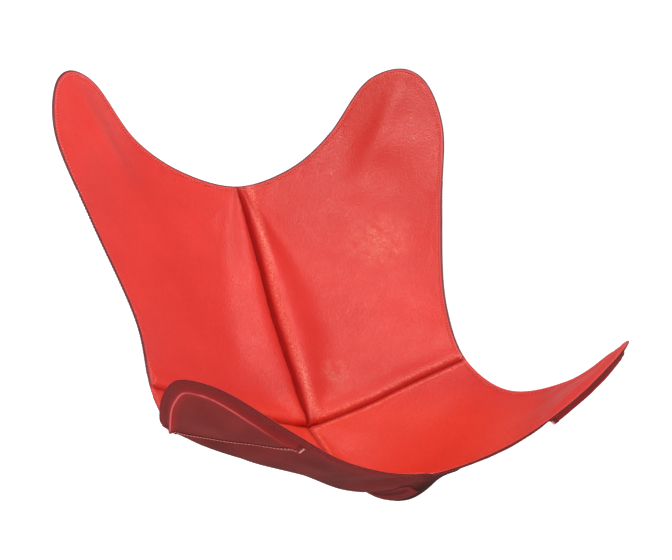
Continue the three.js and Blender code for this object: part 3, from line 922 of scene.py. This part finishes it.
def grain_leather(name, edge_shade_share):
    """The dyed grain side: soft colour, fine pebbles, patches of creases, a worn rim band also painted as a
    highlight, painted shade on the right, at the edge, in the groove and by the seams, painted light on the
    seat and a painted highlight on the crest
    """
    look = Look(name, RED, roughness=0.42, specular=0.44)
    rim, seam = look.mark("rim"), look.mark("seam")
    aside, _, height = look.axes()
    on_right = look.mapped(aside, *RIGHT_BACK, 0.25, 1.0)
    look.paint(DEEP_RED, look.mapped(look.noise(7.0), 0.3, 0.7))
    # Painted shade: the right half of the back is darker, most towards its top
    look.paint(SHADED_RED, look.times(look.mapped(height, *SHADED_HEIGHTS, 0.1, 0.9), on_right))
    # Painted light: the bottom of the seat is lighter and warmer
    look.paint(LIT_SEAT_RED, look.fade(height, *SEAT_HEIGHTS, 0.8))
    # A band along the rim painted lighter, partly as wear and partly as a painted highlight
    look.paint(WORN_RED, look.fade(rim, *RIM_WEAR_AND_SHEEN_BAND, 0.45))
    # Painted shade along the edge: strong on the back, weak on the lit seat edges
    look.paint(EDGE_SHADE_RED, look.fade(rim, *DARK_EDGE, edge_shade_share))

    spots = 0.0
    for centre, reach in WORN_SPOTS:
        spot = look.fade(look.distance(centre), reach * WORN_CORE_SHARE, reach)
        spots = look.math("MAXIMUM", spot, spots)
    ragged = look.times(spots, look.mapped(look.noise(70.0), 0.38, 0.62))
    wrinkles = look.times(look.crease_lines(190.0, 0.07), ragged)
    look.paint(CREST_SHEEN_AND_WEAR_RED, look.times(ragged, 0.15))
    look.paint(CREST_SHEEN_AND_WEAR_RED, look.times(wrinkles, 0.9))
    # Painted shade in the stitch groove
    look.paint(GROOVE_SHADE_RED, look.fade(look.off(rim, STITCH_LINE), *GROOVE_SHADE, 0.85))

    # Painted highlight on the crest beside the centre seam, on the right half only
    crest = look.fade(look.off(seam, CREST_PLACE), 0.0, CREST_REACH)
    crest = look.times(crest, look.mapped(aside, *RIGHT_CREST))
    crest_highlight = look.times(crest, look.mapped(look.noise(420.0, 5.0), 0.4, 0.66))
    look.paint(CREST_SHEEN_AND_WEAR_RED, look.times(crest_highlight, 0.9))
    # Painted shade near the seams
    look.paint(SEAM_SHADE_RED, look.fade(seam, 0.0, SEAM_SHADE_REACH, 0.9))

    pebbles = look.node("ShaderNodeTexVoronoi", Vector=look.place, Scale=520.0).outputs["Distance"]
    grain = look.math("ADD", look.mapped(pebbles, 0.0, 0.8, 0.0, 0.35), look.times(look.noise(260.0), 0.7))
    creases = look.times(look.crease_lines(90.0, 0.05), look.mapped(look.noise(9.0, 2.0), 0.42, 0.72))
    grain = look.math("SUBTRACT", grain, look.times(creases, 0.15))
    look.bump(look.math("ADD", grain, look.times(wrinkles, 0.45)), 0.001, 0.9)

    lobe = look.times(look.mapped(height, *SMOOTH_HEIGHTS, 0.0, 0.1), on_right)
    smoother = look.math("ADD", look.times(crest, 0.12), lobe)
    rough = look.mapped(look.noise(40.0, 4.0), 0.3, 0.7, 0.37, 0.47)
    look.put(look.shader, "Roughness", look.math("SUBTRACT", rough, smoother))
    return look.material


def flesh_leather(name, light, deep, turned=False, ridge=False):
    """The underside of the leather: dark, matt and finely napped, with painted shade low on the right, along
    the turned edge and outside a pocket's ridge, and a painted glow and highlight by the ridge
    """
    look = Look(name, light, roughness=0.78, specular=0.12)
    rim = look.mark("rim")
    aside, _, height = look.axes()
    look.paint(deep, look.mapped(look.noise(16.0, 5.0), 0.35, 0.65))
    on_right = look.mapped(aside, *RIGHT_HUMP)
    # Painted shade on the underside at the bottom of the right half
    look.paint(SHADOW_FLESH_RED, look.times(look.fade(height, *DARK_HEIGHTS, 0.92), on_right))
    if turned:
        # Painted shade on the flat outside a pocket's ridge
        look.paint(TRIM_RED, look.fade(rim, *POCKET_FLAT, 0.8))
        # Painted shade on the turned edge
        look.paint(EDGE_SHADE_RED, look.fade(rim, TURNED_EDGE / 2, TURNED_EDGE, 0.5))
    if ridge:
        # Painted light: a red glow beside the pocket's ridge
        look.paint(PAINTED_GLOW_RED, look.fade(look.off(rim, GLOW_INSET), *GLOW_REACH, 0.4))
        # Painted highlight along the top of a pocket's ridge, on the outer part of the lobe
        outer = look.mapped(look.off(aside, 0.0), *RIDGE_HIGHLIGHT_FROM)
        look.paint(RIDGE_HIGHLIGHT_RED, look.times(look.fade(look.off(rim, RIDGE_INSET), *RIDGE_TOP, 0.6), outer))
    nap = look.math("ADD", look.times(look.noise(900.0, 2.0), 0.5), look.noise(120.0, 4.0))
    look.bump(nap, 0.0005, 0.5)
    return look.material


def mouth_leather():
    """The doubled mouth edge: as the underside, with a painted highlight along its rolled bead"""
    look = Look("mouth_leather", FLESH_RED, roughness=0.6, specular=0.3)
    look.paint(DEEP_FLESH_RED, look.mapped(look.noise(30.0), 0.35, 0.65))
    # Painted highlight along the rolled bead
    look.paint(MOUTH_HIGHLIGHT_RED, look.fade(look.mark("rim"), *BEAD_HIGHLIGHT_SPAN, 0.85))
    look.bump(look.noise(300.0), 0.0004, 0.4)
    return look.material


def thread_material(name, light, dark):
    """Waxed thread with its twist"""
    look = Look(name, light, roughness=0.65, specular=0.3)
    twist = look.node("ShaderNodeTexWave", Vector=look.place, Scale=420.0, Distortion=2.0).outputs["Fac"]
    look.paint(dark, look.mapped(twist, 0.2, 0.8))
    look.bump(twist, 0.0002, 0.6)
    return look.material


def floor_material():
    look = Look("white_floor", FLOOR_WHITE, roughness=0.9, specular=0.0)
    look.put(look.shader, "Base Color", look.painted)
    look.put(look.shader, "Emission Color", (1, 1, 1, 1))
    look.put(look.shader, "Emission Strength", 0.62)
    return look.material


GRAINS = {"back": grain_leather("back_leather", 0.95), "seat": grain_leather("seat_leather", 0.15)}
FLESH = flesh_leather("flesh_side", FLESH_RED, DEEP_FLESH_RED)
POCKET = flesh_leather("pocket_leather", POCKET_RED, DEEP_POCKET_RED, turned=True, ridge=True)
TRIM = flesh_leather("trim_leather", TRIM_RED, FLESH_RED, turned=True)
MOUTH = mouth_leather()
THREAD = thread_material("waxed_thread", THREAD_RED, WORN_RED)
BOBBIN = thread_material("under_thread", BOBBIN_RED, TRIM_RED)

BACK = Panel(BACK_SEAM, BACK_STATION_SHARES, BACK_SAG, BACK_FOLD_HEIGHT, BACK_FOLD_CREST, 1)
SEAT = Panel(SEAT_SEAM, SEAT_STATION_SHARES, SEAT_SAG, SEAT_FOLD_HEIGHT, SEAT_FOLD_CREST, -1)
join_normals(BACK, SEAT)
SIDES = {"right": 1, "left": -1}

# For each half of the back or the seat: its panel, its pocket, the hem along its end and its waves' seed
PARTS = {"back": (BACK, "rear_pocket", "top_hem", 10), "seat": (SEAT, "front_pocket", "front_hem", 20)}

# How much less far a seam other than the back's is darkened with painted shade, and a tape's least rim mark
SEAM_MARK_SCALE = 2.5
TAPE_MARK = 0.001


def declare(piece, node):
    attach(piece, "root")
    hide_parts(node)


def leather_sheet(node, layers, flip, materials, rim, seam=None):
    """A sheet between two layers, which rests on the leather of the node that carries it"""
    piece = shell_mesh(f"{node}_leather", *layers, flip, materials, rim, seam)
    declare(piece, node)


def add_panel(word, side_word, dressed):
    """A half of the back or the seat, with the hems and the stitching along its rim"""
    panel, pocket, edge_hem, _ = PARTS[word]
    node = f"{word}_panel_{side_word}"
    seam = panel.seam_distance if word == "back" else panel.seam_distance * SEAM_MARK_SCALE
    leather_sheet(
        node, (dressed.top, dressed.underside), dressed.flip, (GRAINS[word], FLESH),
        panel.rim_distance,
        np.minimum(seam, panel.cross_distance * SEAM_MARK_SCALE),
    )
    rows = [stitch_row(*inset_line(dressed.rim, STITCH_LINE, dressed.top, dressed.normals))]
    for hem, columns, first, edge in (
        (edge_hem, slice(HEM_COLUMN + 1), RIM_ROW, 0),
        (f"{word}_side_hem", slice(-1 - HEM_COLUMN, None), SEAM_END_ROW, -1),
    ):
        part = slice(first, MOUTH_ROW + 1), columns
        layers = strip_layers(lambda depth: shorten(dressed.below(depth)[part]), TRIM_DEPTH, TRIM_LEATHER)
        leather_sheet(
            f"{hem}_{side_word}", layers, dressed.flip, (TRIM,),
            panel.rim_distance[part],
        )
        far = layers[1]
        line, ups = inset_line(far[:, edge], STITCH_LINE, far, dressed.normals[part])
        rows.append(stitch_row(line, -ups, 2 * STITCH_STEP))
    stitches(f"{word}_edge_thread_{side_word}", rows)


def add_pocket(word, side_word, dressed):
    """A pocket under a lobe, with the doubled edge along its mouth and the stitching"""
    panel, pocket, _, _ = PARTS[word]
    node = f"{pocket}_{side_word}"
    rim_distance, normals = panel.rim_distance[MOUTH_ROW:], dressed.normals[MOUTH_ROW:]
    depth = pocket_depth(panel)
    layers = strip_layers(dressed.lobe, depth, POCKET_LEATHER)
    far = layers[1]
    leather_sheet(
        node, layers, dressed.flip, (POCKET,), rim_distance
    )

    from_mouth = ((ROWS[MOUTH_ROW:] - 2) / LOBE_STEP * MOUTH_EDGE_WIDTH)[:, None]
    off_rim = smooth_step(rim_distance, 0, RIM_THIN_REACH)
    bead = BEAD_HEIGHT * np.sqrt(np.maximum(1 - (from_mouth / BEAD_WIDTH - 1) ** 2, 0)) * off_rim
    part = slice(0, MOUTH_EDGE_ROW - MOUTH_ROW + 1), slice(TAPE_COLUMN, -MOUTH_END_COLUMN)
    thickness = (TRIM_LEATHER + bead) * mix(EDGE_KEEP_SHARE, 1, off_rim)
    depth = depth + POCKET_LEATHER + LAYER_GAP
    layers = strip_layers(lambda depth: dressed.lobe(depth)[part], depth, thickness)
    leather_sheet(
        f"{pocket}_mouth_edge_{side_word}", layers, dressed.flip, (MOUTH,),
        np.broadcast_to(from_mouth, rim_distance.shape)[part],
    )

    in_lobe = [
        norm(far[0, [0, -1]] - point, axis=-1).min() > MOUTH_EDGE_WIDTH + STITCH_STEP
        and norm(far - point, axis=-1).min() < HEM_WIDTH / 2
        for point in dressed.rim
    ]
    line, ups = inset_line(dressed.rim[in_lobe], STITCH_LINE, far, normals)
    along_mouth = MOUTH_STITCH_ROW - MOUTH_ROW, slice(0, 1 - TAPE_COLUMN + MOUTH_END_COLUMN)
    stitches(f"{pocket}_thread_{side_word}", [
        stitch_row(layers[1][along_mouth], -normals[part][along_mouth], 2 * STITCH_STEP),
        stitch_row(line, -ups),
    ])


def add_tape(node, both, flip):
    """A tape under a seam, given the grid of both sides of it at a depth"""
    layers = strip_layers(both, TRIM_DEPTH, TRIM_LEATHER)
    rim = border_distance(layers[0]) + TAPE_MARK
    leather_sheet(node, layers, flip, (TRIM,), rim)


def centre_tape(word):
    right, left = DRESSED[word, "right"], DRESSED[word, "left"]
    rows = slice(SEAM_END_ROW, LAST_SEAM_ROW + 1)

    def both(depth):
        a, b = (dressed.below(depth)[rows, :TAPE_COLUMN + 1] for dressed in (right, left))
        middle = (a[:, :1] + b[:, :1]) / 2
        return shorten(np.concatenate([b[:, :0:-1], middle, a[:, 1:]], axis=1))

    add_tape(f"{word}_seam_tape", both, right.flip)


def cross_tape(side_word):
    back, seat = DRESSED["back", side_word], DRESSED["seat", side_word]

    def both(depth):
        a, b = (dressed.below(depth)[:SEAM_END_ROW + 1] for dressed in (back, seat))
        middle = (a[:1] + b[:1]) / 2
        return np.concatenate([b[:0:-1], middle, a[1:]])

    add_tape(f"cross_seam_tape_{side_word}", both, back.flip)


DRESSED = {}
for number, (side_word, side) in enumerate(SIDES.items()):
    for word, (panel, _, _, seed) in PARTS.items():
        dressed = DRESSED[word, side_word] = Side(panel, side, seed + number)
        add_panel(word, side_word, dressed)
        add_pocket(word, side_word, dressed)
for word in PARTS:
    centre_tape(word)
for side_word in SIDES:
    cross_tape(side_word)


# The camera stands where the photo was taken from, with its focal length in pixels of the image
IMAGE_WIDTH = 672
FOCAL_PIXELS = 1855
SENSOR_WIDTH = 36
CAMERA_PLACE = (-1.338, -2.639, 0.243)
CAMERA_PITCH = -0.124
CAMERA_YAW = 0.476

# Name, place, what it is turned to, size, power and colour of each light, and the even light round them
LIGHTS = (
    ("key", (-0.05, -1.15, 2.5), (0, 0, -0.1), 1.1, 42, (1, 0.98, 0.94)),
    ("left", (-1.45, -1.35, 1.6), (0.15, 0.1, 0.1), 0.35, 11, (1, 0.86, 0.72)),
    ("side", (2.9, 0.4, 0.6), (0, 0.1, 0.0), 0.8, 10, (1, 1, 1)),
    ("low", (-2.6, -0.9, -0.35), (-0.25, -0.2, -0.3), 0.5, 4.5, (1, 1, 1)),
)
WORLD_STRENGTH = 0.36

# A round studio floor that is flat in the middle and curves up far away
FLOOR_LEVEL = -0.692
FLOOR_FLAT_RADIUS = 6.0
FLOOR_CURVE_RADIUS = 4.0
FLOOR_RING_STEPS = 20
FLOOR_TURN_STEPS = 96


def add_camera():
    data = bpy.data.cameras.new("camera")
    data.sensor_fit = "HORIZONTAL"
    data.sensor_width = SENSOR_WIDTH
    data.lens = FOCAL_PIXELS / IMAGE_WIDTH * SENSOR_WIDTH
    data.clip_start, data.clip_end = 0.05, 60
    camera = add_object("camera", data)
    camera.location = CAMERA_PLACE
    camera.rotation_euler = (math.pi / 2 + CAMERA_PITCH, 0, -CAMERA_YAW)
    bpy.context.scene.camera = camera


def add_lights():
    for name, place, target, size, power, colour in LIGHTS:
        data = bpy.data.lights.new(name, "AREA")
        data.shape = "DISK"
        data.size, data.energy, data.color = size, power, colour
        light = add_object(name, data)
        light.location = place
        light.rotation_euler = (Vector(target) - Vector(place)).to_track_quat("-Z", "Y").to_euler()
    world = bpy.data.worlds.new("studio")
    world.use_nodes = True
    background = world.node_tree.nodes["Background"]
    background.inputs["Color"].default_value = (1, 1, 1, 1)
    background.inputs["Strength"].default_value = WORLD_STRENGTH
    bpy.context.scene.world = world


def add_floor():
    bend = np.linspace(0, math.pi / 2, FLOOR_RING_STEPS + 1)[:, None]
    turn = np.linspace(0, 2 * math.pi, FLOOR_TURN_STEPS, endpoint=False)
    radius = FLOOR_FLAT_RADIUS + FLOOR_CURVE_RADIUS * np.sin(bend)
    height = FLOOR_LEVEL + FLOOR_CURVE_RADIUS * (1 - np.cos(bend + 0 * turn))
    rings = np.stack([radius * np.cos(turn), radius * np.sin(turn), height], -1)
    points = [(0, 0, FLOOR_LEVEL), *rings.reshape(-1, 3).tolist()]
    at, after, faces = ring_faces(*height.shape, 1)
    faces = [face[::-1] for face in faces] + [(0, *edge) for edge in zip(at[0].tolist(), after[0].tolist())]
    floor = mesh_object("studio_floor", points, faces, [floor_material()])
    floor.visible_glossy = False


add_camera()
add_floor()
add_lights()
bpy.context.scene.view_settings.view_transform = "Standard"
